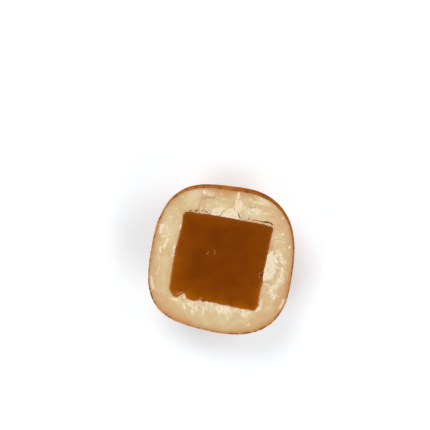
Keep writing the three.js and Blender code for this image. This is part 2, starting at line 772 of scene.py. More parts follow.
@dataclass(frozen=True)
class Patch:
    """An oval place on a cut face.

    Its middle and half sizes come first, then its turn in degrees and how square it is, where 2 is an
    ellipse.
    """

    x: float
    y: float
    along: float
    across: float
    turn: float = 0.0
    fullness: float = 2.0

    def nearness(self, points: Array) -> Array:
        """How near points are.

        Args:
            points: rows of x and y.

        Returns:
            For each row 1 in the middle, 0 on the patch's edge and less beyond it.
        """
        angle = math.radians(self.turn)
        dx = points[:, 0] - self.x
        dy = points[:, 1] - self.y
        along = np.abs(dx * math.cos(angle) + dy * math.sin(angle)) / self.along
        across = np.abs(dy * math.cos(angle) - dx * math.sin(angle)) / self.across
        return 1.0 - (along ** self.fullness + across ** self.fullness) ** (1.0 / self.fullness)


@dataclass(frozen=True)
class Line:
    """A crack, fold, streak or smear: its half width, its path over a cut face and its strength."""

    half_width: float
    path: tuple[Place, ...]
    strength: float = 1.0

    def distance(self, points: Array) -> Array:
        """How far points are from the line.

        Args:
            points: rows of x and y.

        Returns:
            A distance for each row.
        """
        nearest = np.full(len(points), np.inf)
        for start, end in zip(self.path, self.path[1:]):
            line = np.subtract(end, start)
            share = np.clip(((points - start) @ line) / (line @ line), 0.0, 1.0)
            away = points - start - share[:, None] * line
            nearest = np.minimum(nearest, np.hypot(away[:, 0], away[:, 1]))
        return nearest

    def closeness(self, points: Array) -> Array:
        """How close points are: the line's strength on it, falling to 0 outside its width."""
        return self.strength * hill(self.distance(points), self.half_width)

    def nearness(self, points: Array) -> Array:
        """How near points are: 1 on the line, 0 at its half width and less beyond it."""
        return 1.0 - self.distance(points) / self.half_width


@dataclass(frozen=True)
class Shard:
    """A place with straight sides on a cut face: its corners in order round it, and its soft edge."""

    corners: tuple[Place, ...]
    soft: float = 0.4

    def nearness(self, points: Array) -> Array:
        """How near points are.

        Args:
            points: rows of x and y.

        Returns:
            For each row over 0 inside the shard, 0 on its edge and less beyond it.
        """
        closed = self.corners + self.corners[:1]
        inside = np.zeros(len(points), bool)
        for (x, y), (next_x, next_y) in zip(closed, closed[1:]):
            crosses = (points[:, 1] < y) != (points[:, 1] < next_y)
            slant = (next_x - x) / ((next_y - y) or 1.0)
            inside ^= crosses & (points[:, 0] < x + (points[:, 1] - y) * slant)
        distance = Line(self.soft, closed).distance(points)
        return np.where(inside, distance, -distance) / self.soft


@dataclass(frozen=True)
class Torn:
    """A crumbled place: how much more whole than others, or less, and how white its crumbs are."""

    place: Patch | Line
    whole: float
    white: float


@dataclass(frozen=True)
class Flake:
    """A flake of the coat: its place, how far it stands up, how white it is and how strong its painted
    highlight is.
    """

    place: Patch | Shard
    up: float
    white: float
    bright: float = 0.0


@dataclass(frozen=True)
class Tint:
    """A soft zone of another colour: its place and how strong it is, where under 0 is the reverse."""

    place: Patch
    strength: float


@dataclass(frozen=True)
class Cells:
    """A surface broken into uneven cells: each point's cell middle, lots and distance to the next cell.

    A cell's lots, 0 to 1, are its rank, its tilt along X and along Y, and its whiteness.
    """

    middles: Array
    lots: Array
    valleys: Array

    @classmethod
    def over(cls, points: Array, size: float) -> "Cells":
        """Breaks up rows of x and y.

        Args:
            points: the rows.
            size: how wide a cell is.

        Returns:
            The cells.
        """
        middles = np.zeros((len(points), 2))
        lots = np.zeros((len(points), 4))
        valleys = np.zeros(len(points))
        for index, (x, y) in enumerate(points / size):
            away, spots = noise.voronoi(Vector((x, y, size)))
            middles[index] = spots[0][0], spots[0][1]
            valleys[index] = away[1] - away[0]
            lot = spots[0] * LOT_SPREAD
            lots[index] = noise.cell_vector(lot + RANK_SHIFT)[0], *noise.cell_vector(lot)
        return cls(middles * size, lots, valleys * size)

    @property
    def rank(self) -> Array:
        """Each point's lot for how high its cell is and how strong the cell's painted highlight is."""
        return self.lots[:, 0]

    @property
    def whiteness(self) -> Array:
        """Each point's lot for how white its cell is."""
        return self.lots[:, 3]

    def slope(self, points: Array, tilt: float) -> Array:
        """How far points lie above or below their cells' middles, when each cell tilts its own way."""
        return ((points - self.middles) * (self.lots[:, 1:3] - 0.5) * 2.0 * tilt).sum(-1)

    def jagged(self, points: Array, share: float) -> Array:
        """Moves points towards their cells' middles by a share, which makes outlines jagged."""
        return points + share * (self.middles - points)


@dataclass
class GlazeSkin:
    """The thin brown skin round the outside, open at the cut."""

    form: SweetForm
    finish: GlazeFinish

    # Points round each ring, and steps up the outside and down the inside
    around: int = 480
    up_the_back: int = 90
    inside_steps: int = 8

    # Its thickness at the cut, and the side where it is thickest, in radians
    thickest: float = 0.34
    thinnest: float = 0.15
    thick_side: float = 1.65
    thick_fade: float = 4.0

    # Its edge at the cut: its rounding in steps, its drop to the coat, and the wall down to the inside
    rounding: float = 0.06
    rounding_steps: tuple[float, ...] = (0.3, 0.65, 1.0)
    lip_drop: float = 0.02
    wall: float = 0.8
    inside_from: float = 1.5

    # How uneven it is, the share of the height that lumps stand away from, and the even zone below
    lumps: Unevenness = Unevenness(3.0, 2, 0.0, 0.035)
    ripples: Unevenness = Unevenness(0.9, 2, 7.0, 0.012)
    chips: Unevenness = Unevenness(0.7, 3, 3.0, 0.02)
    heart: float = 0.6
    rest_zone: float = 1.2

    # The side where the cut edge is browner, in radians, and how much browner; and the painted shade near
    # the cut on that side: its share and how far down it reaches
    brown_side: float = 1.0
    brown_share: float = 0.85
    shade_share: float = 0.9
    shade_reach: float = 3.0

    def thickness(self, angles: Array) -> Array:
        """How thick the skin is at the cut, round the outline."""
        share = turned_to(angles, self.thick_side) ** self.thick_fade
        return between((self.thinnest, self.thickest), share)

    def lumpy(self, rings: Array) -> Array:
        """Moves the outside's points out and in a little, less towards the flat spot that it lies on.

        Args:
            rings: the points, ring by point by axis.

        Returns:
            The moved points.
        """
        points = rings.reshape(-1, 3)
        outwards = points - np.array([0.0, 0.0, self.form.cut_level * self.heart])
        outwards /= np.linalg.norm(outwards, axis=1)[:, None]
        amount = self.lumps.at(points) + self.ripples.at(points)
        amount *= rise(points[:, 2], 0.0, self.rest_zone)
        return (points + outwards * amount[:, None]).reshape(rings.shape)

    def rim(self, edge: Array, thickness: Array) -> list[Array]:
        """The rings over the skin's edge.

        Args:
            edge: the ring where the rounding starts.
            thickness: how thick the skin is at each of its points.

        Returns:
            The rings over the rounding, across the skin's cut and down the wall behind it.
        """
        cut = self.form.cut_level
        plan = edge[:, :2]
        inwards = -plan / np.linalg.norm(plan, axis=1)[:, None]
        chips = self.chips.at(edge)
        rings = []
        for share in self.rounding_steps:
            slope = share * QUARTER
            level = cut - self.rounding * (1.0 - math.sin(slope)) + chips * share
            rings.append(at_level(plan + inwards * self.rounding * (1.0 - math.cos(slope)), level))
        lip = plan + inwards * thickness[:, None]
        return rings + [at_level(lip, cut - self.lip_drop), at_level(lip, cut - self.wall)]

    def build(self) -> bpy.types.Object:
        """Builds the skin: up the outside, over its rounded edge and down its inside.

        Returns:
            The piece.
        """
        angles = turn_of(self.around)
        cut = self.form.cut_level
        outside = self.form.back(angles, 0.0, self.up_the_back)
        outside.append(self.form.section(angles, 0.0, self.rounding))
        outside = self.lumpy(np.stack(outside))
        rim = self.rim(outside[-1], self.thickness(angles))
        inside = self.form.back(angles, self.thickest, self.inside_steps)[::-1]
        inside = [ring for ring in inside if ring[0, 2] < cut - self.inside_from]
        rings = np.concatenate([outside, np.stack(rim), np.stack(inside)])
        rings[..., 2] = np.maximum(rings[..., 2], 0.0)
        mesh = loft("glaze", rings)
        brown = turned_to(angles, self.brown_side)
        at_cut = np.zeros(rings.shape[:2])
        at_cut[len(outside):] = 1.0 - self.brown_share * brown
        # Painted shade: darker near the cut on the brown side, fading further down
        deep = self.shade_share * brown * np.exp((rings[..., 2] - cut) / self.shade_reach)
        store(mesh, Mask.CUT, at_cut.ravel())
        store(mesh, Mask.SHADE, deep.ravel())
        return place_piece(mesh, self.finish.material(), Layer.GLAZE)


@dataclass(frozen=True)
class CutMarks:
    """The marks on the coat's cut face."""

    # Crumbled places
    torn: tuple[Torn, ...] = (
        Torn(Patch(-3.9, 7.4, 1.1, 0.45), -0.05, 0.4),
        Torn(Patch(2.4, 7.35, 0.6, 0.4), 0.0, 0.3),
        Torn(Line(0.32, ((3.0, 8.1), (3.3, 8.45), (3.8, 8.75), (4.3, 8.7))), 0.15, 0.85),
        Torn(Line(0.25, ((8.55, 2.75), (8.9, 2.4), (9.2, 1.9), (9.45, 1.35), (9.85, 1.05))), 0.2, 1.0),
        Torn(Line(0.13, ((9.8, 1.2), (9.95, 1.5))), 0.2, 1.0),
        Torn(Line(0.16, ((9.8, 0.1), (9.9, 0.0))), 0.2, 1.0),
        Torn(Line(0.24, ((9.7, -0.4), (9.6, -1.8))), 0.2, 1.0),
        Torn(Line(0.16, ((10.05, -1.4), (10.1, -2.0))), 0.1, 0.8),
        Torn(Line(0.32, ((9.25, -2.4), (9.1, -2.8), (8.75, -3.3), (8.65, -3.9), (8.75, -4.5))), 0.2, 1.0),
        Torn(Line(0.24, ((7.55, -2.75), (8.0, -3.0), (8.6, -3.4))), 0.15, 0.9),
        Torn(Line(0.2, ((7.9, -4.1), (8.5, -3.85))), 0.1, 0.8),
        Torn(Line(0.18, ((8.7, -4.3), (9.15, -4.4), (9.2, -4.8))), 0.15, 0.9),
        Torn(Patch(7.2, -6.1, 0.24, 0.65), 0.05, 0.8),
        Torn(Patch(-4.2, -7.85, 0.6, 0.3), 0.1, 0.95),
        Torn(Patch(-3.9, -8.3, 0.7, 0.3), 0.05, 0.9),
        Torn(Patch(-3.3, -8.6, 0.42, 0.42), 0.1, 1.0),
        Torn(Patch(-3.75, -9.1, 0.45, 0.22), 0.0, 0.8),
        Torn(Patch(-1.3, -7.65, 1.4, 0.5), 0.15, 0.6),
        Torn(Patch(1.15, -7.95, 1.15, 0.7), 0.2, 1.0),
        Torn(Patch(3.4, -7.72, 0.45, 0.24), 0.1, 0.8),
        Torn(Patch(4.7, -7.62, 1.2, 0.18), 0.1, 0.65),
        Torn(Patch(-9.0, 2.7, 0.7, 0.3, 20.0), -0.05, 0.6),
        Torn(Patch(-8.0, 0.3, 0.2, 1.2), 0.0, 0.7),
    )
    # Flakes, each over those before it
    flakes: tuple[Flake, ...] = (
        Flake(Shard(((0.65, 8.2), (0.55, 9.3), (0.75, 9.95), (1.6, 10.0), (1.95, 9.6), (2.0, 8.6),
                     (1.6, 8.05), (1.1, 8.0))), 0.08, 0.4, 0.4),
        Flake(Shard(((-2.95, 6.9), (-2.9, 7.85), (-2.2, 8.1), (-1.6, 8.5), (-1.0, 8.3), (-1.1, 7.8),
                     (-1.5, 6.9))), 0.06, 0.85, 0.1),
        Flake(Shard(((-1.3, 6.9), (-0.95, 7.7), (-0.4, 8.25), (0.3, 8.5), (0.65, 8.15), (1.1, 7.9),
                     (1.7, 6.9))), 0.11, 0.95, 0.1),
        Flake(Shard(((-1.3, 6.9), (-0.95, 7.7), (-0.55, 7.4), (-0.5, 6.9))), 0.12, 0.9, 0.6),
        Flake(Shard(((6.8, 2.0), (7.3, 2.2), (7.7, 2.65), (7.95, 2.2), (8.3, 2.25), (8.9, 2.75), (8.75, 2.0),
                     (8.55, 1.6), (8.9, 1.2), (8.9, 0.8), (8.55, 0.3), (8.65, -0.3), (8.5, -0.9),
                     (8.3, -1.5), (8.0, -1.9), (7.7, -2.25), (6.8, -2.5))), 0.08, 1.0),
        Flake(Patch(-3.85, 10.3, 1.05, 0.45, -2.0, 3.0), 0.06, 0.45),
        Flake(Patch(8.75, 5.75, 0.3, 0.26), 0.04, 0.55, 0.2),
        Flake(Patch(10.3, 3.75, 0.24, 0.22), 0.04, 0.4, 0.2),
        Flake(Patch(-9.3, 5.5, 0.27, 0.2, 30.0), 0.04, 0.4, 0.5),
        Flake(Patch(-4.5, 10.25, 0.3, 0.22), 0.07, 0.5, 0.8),
        Flake(Shard(((-10.75, 4.2), (-10.85, 3.6), (-10.65, 2.6), (-10.4, 2.6), (-10.05, 3.8),
                     (-10.1, 4.25))), 0.06, 1.0, 0.15),
        Flake(Patch(-6.7, -7.75, 0.85, 0.2, -2.0), 0.05, 0.3, 0.75),
        Flake(Patch(-5.1, -6.95, 0.26, 0.4), 0.05, 0.2, 0.4),
        Flake(Patch(8.88, 0.15, 0.32, 0.24), 0.05, 0.6, 0.3),
        Flake(Patch(4.8, -8.3, 0.62, 0.44, -5.0), 0.08, 0.6, 0.35),
        Flake(Patch(5.5, -7.9, 0.45, 0.24, 35.0), 0.06, 0.5, 0.3),
        Flake(Patch(1.25, -7.9, 0.6, 0.5, 0.0, 3.0), 0.07, 0.8, 0.05),
        Flake(Patch(6.8, -7.1, 0.6, 0.4, 40.0), 0.05, 0.75, 0.2),
    )
    # Zones of a warmer colour
    blushes: tuple[Tint, ...] = (
        Tint(Patch(-1.4, 10.6, 1.7, 0.85, 0.0, 4.0), 0.6), Tint(Patch(7.4, 8.0, 3.8, 1.9, -45.0), 0.32),
        Tint(Patch(-7.2, -9.2, 3.8, 1.7, -38.0), 0.5), Tint(Patch(7.4, -9.0, 3.4, 1.7, 40.0), 0.45),
        Tint(Patch(10.0, -5.0, 1.1, 2.8, -10.0), 0.55), Tint(Patch(-8.25, -4.2, 0.7, 3.4, 2.0), 0.5),
        Tint(Patch(-4.55, 8.7, 0.8, 1.1), 0.42), Tint(Patch(8.9, 0.4, 0.4, 0.3), 0.4),
        Tint(Patch(-6.5, -7.2, 0.7, 0.3), 0.6), Tint(Patch(-5.65, -6.75, 0.4, 0.5), 0.9),
        Tint(Patch(-4.2, -10.7, 1.6, 0.7, -12.0), 0.45),
    )
    # Zones where the tan along the glaze is paler, or stronger where under 0
    pales: tuple[Tint, ...] = (
        Tint(Patch(8.1, 8.7, 3.0, 1.4, -45.0), 0.4), Tint(Patch(5.5, 10.6, 2.6, 1.2, -28.0), 0.8),
        Tint(Patch(10.8, -5.9, 0.9, 1.5, -15.0), 0.65), Tint(Patch(-11.3, -4.8, 1.0, 2.2, 6.0), 0.4),
        Tint(Patch(-8.4, 8.6, 4.0, 1.4, 48.0), 0.25), Tint(Patch(-6.2, 10.0, 2.0, 1.0, 28.0), 0.5),
        Tint(Patch(-6.0, -10.8, 3.4, 1.3, -18.0), -0.15), Tint(Patch(10.9, -2.0, 0.8, 1.8), -0.4),
        Tint(Patch(6.0, -10.8, 4.0, 1.3, 25.0), -0.15),
    )
    # Shaded zones
    shades: tuple[Tint, ...] = (
        Tint(Patch(-3.9, 7.5, 1.2, 0.6), 0.45), Tint(Patch(2.4, 7.35, 0.7, 0.5), 0.4),
        Tint(Patch(3.5, 9.15, 0.8, 0.26), 0.9), Tint(Patch(0.3, 9.2, 0.24, 0.8), 0.5),
        Tint(Patch(8.85, 1.65, 0.22, 0.26), 0.9), Tint(Patch(9.1, 0.85, 0.4, 0.14), 0.5),
        Tint(Patch(8.2, -2.55, 0.8, 0.35), 0.35), Tint(Patch(-4.05, -8.62, 0.26, 0.2), 0.7),
        Tint(Patch(-2.5, -8.3, 0.35, 0.4), 0.4), Tint(Patch(-0.2, -7.65, 0.4, 0.3), 0.5),
        Tint(Patch(3.6, -8.3, 0.4, 0.3), 0.4), Tint(Patch(3.0, -7.95, 0.3, 0.12), 0.5),
        Tint(Patch(-5.3, -7.45, 0.45, 0.45), 0.5), Tint(Patch(-8.5, -0.4, 0.4, 0.5), 0.35),
        Tint(Patch(8.85, -0.8, 0.5, 1.6), 0.45), Tint(Patch(7.35, 3.2, 0.6, 1.1), 0.45),
        Tint(Patch(9.3, 0.6, 0.55, 0.35), 0.5), Tint(Patch(8.2, -3.4, 0.8, 0.9), 0.3),
    )
    # Zones under a thin white veil
    veils: tuple[Tint, ...] = (
        Tint(Patch(-0.3, -7.9, 5.6, 0.8), 0.4), Tint(Patch(8.8, -0.6, 1.3, 3.8), 0.1),
        Tint(Patch(3.7, 8.45, 1.5, 0.75), 0.45), Tint(Patch(-9.7, 3.4, 1.2, 2.2), 0.3),
        Tint(Patch(-6.0, 9.6, 1.3, 0.8, 25.0), 0.35), Tint(Patch(5.0, 10.3, 1.5, 0.6, -20.0), 0.35),
    )
    # Shaded folds
    folds: tuple[Line, ...] = (
        Line(0.2, ((-4.85, 9.2), (-4.3, 9.5), (-3.5, 9.65), (-2.7, 9.8)), 0.75),
        Line(0.16, ((-5.25, 7.35), (-5.05, 7.7), (-4.95, 8.2)), 0.7),
        Line(0.14, ((-4.95, 8.2), (-4.9, 9.0)), 0.4),
        Line(0.12, ((-1.55, 7.05), (-1.3, 7.4), (-1.05, 7.9)), 0.7),
        Line(0.1, ((-2.0, 7.45), (-1.5, 7.55), (-1.2, 7.6)), 0.4),
        Line(0.1, ((0.3, 7.3), (1.1, 7.3)), 0.4),
        Line(0.1, ((-0.5, 7.75), (0.1, 7.95)), 0.3),
        Line(0.09, ((2.05, 9.7), (2.1, 8.9), (2.0, 8.1)), 0.4),
        Line(0.14, ((8.4, 0.75), (9.1, 1.0)), 0.5),
        Line(0.12, ((8.0, 2.4), (8.35, 1.9), (8.7, 1.6)), 0.5),
        Line(0.1, ((7.3, -0.2), (7.7, -0.7), (8.2, -0.9)), 0.3),
        Line(0.16, ((7.7, 4.75), (8.7, 4.8)), 0.3),
    )
    # The shallow chip at the top
    scoop: Patch = Patch(-3.1, 8.15, 1.95, 1.6, 4.0, 3.0)
    # Open cracks at the caramel, painted dark inside: painted shade over the caramel's brown
    cracks: tuple[Line, ...] = (
        Line(0.12, ((4.9, 7.04), (5.2, 7.1), (5.6, 7.1), (6.3, 7.18), (6.7, 7.1), (7.0, 6.9)), 1.1),
        Line(0.13, ((3.0, 7.15), (3.4, 7.12), (3.9, 7.1), (4.4, 7.2), (4.9, 7.05)), 0.6),
        Line(0.13, ((-6.35, 7.05), (-6.0, 7.0)), 0.6),
        Line(0.15, ((-5.55, 7.12), (-5.2, 7.25), (-5.05, 7.5)), 0.8),
        Line(0.14, ((-4.4, 7.25), (-4.05, 7.38), (-3.6, 7.2)), 0.65),
        Line(0.1, ((1.3, 7.75), (1.55, 7.4), (1.8, 7.1)), 0.7),
    )
    # Raised pale streaks, with painted highlights along them
    streaks: tuple[Line, ...] = (
        Line(0.15, ((0.95, 11.25), (0.92, 10.3))),
        Line(0.1, ((0.7, 9.9), (0.62, 9.2), (0.62, 8.6)), 0.6),
        Line(0.11, ((3.35, 10.0), (4.9, 10.02)), 0.8),
        Line(0.12, ((2.2, 8.6), (2.2, 9.0)), 0.8),
        Line(0.13, ((5.4, 8.4), (6.4, 8.6)), 0.6),
        Line(0.09, ((2.85, 7.8), (2.95, 7.15)), 0.6),
        Line(0.12, ((-9.7, 4.0), (-9.5, 3.4)), 0.6),
        Line(0.14, ((-10.25, 2.15), (-9.8, 2.2), (-9.4, 2.45), (-9.1, 2.95)), 0.7),
        Line(0.15, ((-9.2, 1.85), (-9.65, 0.5))),
        Line(0.14, ((-10.1, 0.45), (-10.2, 0.1), (-10.05, -0.35))),
        Line(0.11, ((-10.2, -1.0), (-10.1, -1.6)), 0.6),
        Line(0.11, ((-9.85, -2.9), (-10.0, -3.6), (-10.15, -4.1)), 0.6),
        Line(0.13, ((-7.95, 1.1), (-8.0, 0.4), (-8.05, -0.5)), 0.6),
        Line(0.13, ((7.15, 4.4), (7.4, 4.75), (7.9, 5.1)), 0.45),
        Line(0.13, ((8.1, 4.3), (8.7, 4.45), (9.3, 4.35)), 0.4),
        Line(0.15, ((-1.8, -8.2), (-1.85, -9.2)), 0.8),
        Line(0.15, ((0.3, -7.8), (0.65, -8.65)), 0.8),
        Line(0.14, ((0.95, -7.7), (0.95, -8.9)), 0.5),
        Line(0.15, ((1.7, -7.5), (1.65, -8.45)), 0.9),
        Line(0.13, ((2.2, -9.1), (2.4, -9.6)), 0.5),
        Line(0.13, ((-3.2, -9.2), (-3.5, -9.7)), 0.5),
        Line(0.14, ((-5.1, -8.25), (-4.85, -8.95)), 0.8),
        Line(0.16, ((-10.9, -4.7), (-10.68, -5.6), (-10.4, -6.4)), 0.8),
        Line(0.2, ((-10.5, -6.0), (-10.35, -6.5)), 0.8),
        Line(0.15, ((10.75, -4.9), (10.6, -5.5), (10.3, -6.2)), 0.9),
    )
    # Small raised spots with painted highlights
    spots: tuple[Place, ...] = (
        (-4.6, 10.2), (-6.9, 9.25), (-7.85, 9.1), (3.0, 10.3), (5.3, 10.4), (8.5, 8.2), (8.65, 5.7),
        (-1.8, 10.6), (-9.3, 5.5), (-8.5, 6.95), (-8.9, 6.45), (10.4, 3.75), (5.75, -9.8), (-10.45, -6.4),
        (-1.3, 9.75), (-2.3, 8.9), (-7.55, 4.3), (-7.5, 3.85), (8.5, -3.7),
    )


@dataclass
class CutFace:
    """The coat's cut face at rows of x and y: its relief, and what its material needs at each row."""

    points: Array
    to_caramel: Array
    to_glaze: Array
    marks: CutMarks = CutMarks()

    # The face as a whole: its unevenness, the sway of its marks' outlines, and its drop at the glaze
    swells: Unevenness = Unevenness(2.6, 2, 0.0, 0.03)
    pores: Unevenness = Unevenness(0.5, 3, 5.0, 0.012)
    sways: tuple[Unevenness, ...] = (Unevenness(0.6, 3, 21.0, 0.2), Unevenness(0.6, 3, 31.0, 0.2))
    highest: float = 0.19
    edge_drop: float = 0.03
    edge_width: float = 0.3
    even_edge: Span = (0.1, 0.35)

    # Crumbs: the cells that they break into, how these tilt and step, and how jagged islands of them are
    facet: float = 0.75
    facet_tilt: float = 0.3
    crumb: float = 0.34
    crumb_tilt: float = 0.22
    crumb_step: float = 0.05
    valley: float = 0.1
    jag: float = 0.6
    scatter: Unevenness = Unevenness(0.9, 4, 23.0, 0.42)
    island_edge: Span = (-0.3, 0.25)
    island_rise: float = 0.08
    gap_edge: Span = (-0.3, 0.1)
    gap_depth: float = 0.05

    # The crumbs' colours: how white, and how strong their painted highlights, both less in valleys, and the
    # painted shade of gaps and valleys
    crumb_white: Span = (0.6, 1.1)
    valley_dim: float = 0.4
    crumb_highlight: float = 0.7
    highlight_ranks: Span = (0.35, 0.9)
    gap_shade: float = 0.45
    valley_shade: float = 0.6

    # The scoop's depth, its edge, and the slant from its deep upper left
    scoop_depth: float = 0.2
    scoop_edge: Span = (0.0, 0.25)
    scoop_slant: Span = (-0.6, 0.7)

    # The soft edges of tints, and the flakes: their jagged edges and what they hide of the crumbs below,
    # relief and painted highlights
    tint_edge: Span = (-0.2, 0.6)
    pale_edge: Span = (-0.2, 0.5)
    flake_jag: float = 0.25
    flake_edge: Span = (-0.08, 0.22)
    flake_smooth: float = 0.6
    flake_hide: float = 0.7
    meal: Unevenness = Unevenness(0.45, 3, 51.0, 0.5)
    meal_mean: float = 0.86

    # Streaks and spots, which rise a little and carry painted highlights, and cracks, which open and close
    # along their way and are painted dark inside as shade
    streak_rise: float = 0.05
    spot: float = 0.13
    breaks: Unevenness = Unevenness(0.8, 3, 41.0)
    break_edge: Span = (-0.25, 0.25)
    crack_least: float = 0.5
    crack_depth: float = 0.2
    crevice_shade_edge: Span = (0.1, 0.9)

    # The tan and the stain along the glaze, where the stain is strongest at the low corners
    tan_width: float = 0.72
    stain_width: Span = (0.05, 0.25)
    stain_least: float = 0.5
    corner_from: Span = (2.0, 5.0)
    low_from: Span = (5.0, 8.0)

    # The warm lip and glow along the caramel, where the glow is strongest at the sides and the right
    lip_width: float = 0.2
    lip_least: float = 0.4
    glow: float = 0.62
    glow_width: float = 0.9
    glow_ends: float = 0.45
    glow_sides: float = 0.55
    glow_right: float = 0.3
    side_from: Span = (-1.5, 1.5)
    right_from: Span = (0.0, 7.0)

    # What is worked out for each row
    height: Array = field(init=False)
    masks: dict[Mask, Array] = field(init=False)
    bent: Array = field(init=False)
    half_bent: Array = field(init=False)
    cells: Cells = field(init=False)
    mealy: Array = field(init=False)
    patchy: Array = field(init=False)

    def __post_init__(self) -> None:
        """Starts with a nearly even face, and with the rows that marks with ragged outlines use."""
        self.bent = self.points + np.stack([sway.at(self.points) for sway in self.sways], -1)
        self.half_bent = (self.bent + self.points) / 2
        self.cells = Cells.over(self.bent, self.crumb)
        self.mealy = self.meal_mean + self.meal.at(self.points)
        self.patchy = rise(self.breaks.at(self.points), *self.break_edge)
        self.height = self.swells.at(self.points) + self.pores.at(self.points)
        self.masks = {mask: np.zeros(len(self.points)) for mask in Mask if mask is not Mask.AMBER}

    def lift(self, mask: Mask, values: Array) -> None:
        """Raises a mask to some values where it is lower."""
        self.masks[mask] = np.maximum(self.masks[mask], values)

    def dim(self, share: Array, *masks: Mask) -> None:
        """Takes a share away from masks."""
        for mask in masks:
            self.masks[mask] *= 1.0 - share

    def crumble(self) -> None:
        """Breaks the torn places into angular crumbs, fewer towards their edges, with painted highlights on
        high crumbs and painted shade in gaps and valleys.
        """
        cells = self.cells
        facets = Cells.over(self.bent, self.facet)
        jagged = cells.jagged(self.bent, self.jag)
        fields = np.stack([torn.place.nearness(jagged) + torn.whole for torn in self.marks.torn])
        white = np.array([torn.white for torn in self.marks.torn])[fields.argmax(0)]
        island = rise(fields.max(0) + self.scatter.at(jagged), *self.island_edge)
        nearest = np.max([torn.place.nearness(self.bent) for torn in self.marks.torn], axis=0)
        around = rise(nearest, *self.gap_edge)
        valley = 1.0 - rise(cells.valleys, 0.0, self.valley)
        whiteness = between(self.crumb_white, cells.whiteness) * (1.0 - self.valley_dim * valley)
        highlight_strength = self.crumb_highlight * rise(cells.rank, *self.highlight_ranks) * (1.0 - valley)
        gaps = np.maximum(1.0 - island, self.valley_shade * valley)
        self.masks[Mask.CRUMB] = island * white * whiteness
        self.masks[Mask.PAINTED_HIGHLIGHT] = island * white * highlight_strength
        self.masks[Mask.SHADE] = self.gap_shade * gaps * around
        tilt = facets.slope(self.bent, self.facet_tilt) + cells.slope(self.bent, self.crumb_tilt)
        up = self.island_rise + tilt + self.crumb_step * (cells.rank - 0.5 - valley)
        self.height += island * up - self.gap_depth * (1.0 - island) * around

    def scoop_out(self) -> None:
        """Takes out the shallow chip, which is steep at its upper left."""
        scoop = self.marks.scoop
        across = (self.bent[:, 0] - scoop.x) / scoop.along
        up = (self.bent[:, 1] - scoop.y) / scoop.across
        inside = rise(scoop.nearness(self.bent), *self.scoop_edge)
        self.height -= self.scoop_depth * inside * rise(up - across, *self.scoop_slant)

    def tint_zones(self) -> None:
        """Tints the blushing, shaded and veiled zones."""
        marks = self.marks
        zones = ((Mask.BLUSH, marks.blushes), (Mask.SHADE, marks.shades), (Mask.CRUMB, marks.veils))
        for mask, tints in zones:
            for tint in tints:
                self.lift(mask, tint.strength * rise(tint.place.nearness(self.bent), *self.tint_edge))

    def lay_flakes(self) -> None:
        """Lays the flakes on the face, over the crumbs' painted highlights and shade, with painted
        highlights of their own.
        """
        jagged = self.cells.jagged(self.bent, self.flake_jag)
        for flake in self.marks.flakes:
            on_flake = rise(flake.place.nearness(jagged), *self.flake_edge)
            self.height = self.height * (1.0 - self.flake_smooth * on_flake) + flake.up * on_flake
            self.lift(Mask.CRUMB, flake.white * on_flake * self.mealy)
            self.dim(self.flake_hide * on_flake, Mask.PAINTED_HIGHLIGHT)
            self.masks[Mask.PAINTED_HIGHLIGHT] += flake.bright * on_flake * self.mealy
            self.dim(on_flake, Mask.SHADE)

    def draw_lines(self) -> None:
        """Paints shade along the folds, and raises the streaks and the spots, with painted highlights on
        them.
        """
        for fold in self.marks.folds:
            on_fold = fold.closeness(self.half_bent)
            self.lift(Mask.SHADE, on_fold)
            self.dim(on_fold, Mask.CRUMB, Mask.PAINTED_HIGHLIGHT)
        for streak in self.marks.streaks:
            on_streak = streak.closeness(self.half_bent)
            self.height += self.streak_rise * on_streak
            self.lift(Mask.PAINTED_HIGHLIGHT, on_streak * self.mealy)
        for spot in self.marks.spots:
            on_spot = hill(away_from(self.bent, spot), self.spot)
            self.height += self.streak_rise * on_spot
            self.lift(Mask.PAINTED_HIGHLIGHT, on_spot)

    def open_cracks(self) -> None:
        """Opens the cracks and paints shade in them."""
        for crack in self.marks.cracks:
            in_crack = crack.closeness(self.half_bent) * between((self.crack_least, 1.0), self.patchy)
            self.height -= self.crack_depth * in_crack
            self.lift(Mask.CREVICE_SHADE, rise(in_crack, *self.crevice_shade_edge))

    def tint_edges(self) -> None:
        """Lets the face drop at the glaze, and tints it along the glaze and along the caramel."""
        x, y = self.points.T
        beside_glaze = 1.0 - rise(self.to_glaze, *self.even_edge)
        self.height -= self.edge_drop * (1.0 - rise(self.to_glaze, 0.0, self.edge_width))
        self.dim(beside_glaze, Mask.CRUMB, Mask.PAINTED_HIGHLIGHT)
        self.masks[Mask.RIM] = np.exp(-self.to_glaze / self.tan_width)
        for pale in self.marks.pales:
            self.dim(pale.strength * rise(pale.place.nearness(self.bent), *self.pale_edge), Mask.RIM)
        low_corners = rise(np.abs(x), *self.corner_from) * rise(-y, *self.low_from)
        stain = 1.0 - rise(self.to_glaze, *self.stain_width)
        self.masks[Mask.CUT] = between((self.stain_least, 1.0), low_corners) * stain
        sideways = rise(np.abs(x) - np.abs(y), *self.side_from)
        at_sides = (self.glow_sides + self.glow_right * rise(x, *self.right_from)) * sideways
        glow = self.glow * np.exp(-self.to_caramel / self.glow_width)
        self.lift(Mask.BLUSH, glow * (self.glow_ends + at_sides))
        lip = hill(self.to_caramel, self.lip_width)
        self.masks[Mask.LIP] = between((self.lip_least, 1.0), self.patchy) * lip

    def shape(self) -> None:
        """Works out the relief and the masks."""
        self.crumble()
        self.scoop_out()
        self.tint_zones()
        self.lay_flakes()
        self.draw_lines()
        self.open_cracks()
        self.tint_edges()
        self.masks = {mask: np.clip(values, 0.0, 1.0) for mask, values in self.masks.items()}
        self.height = np.minimum(self.height, self.highest)


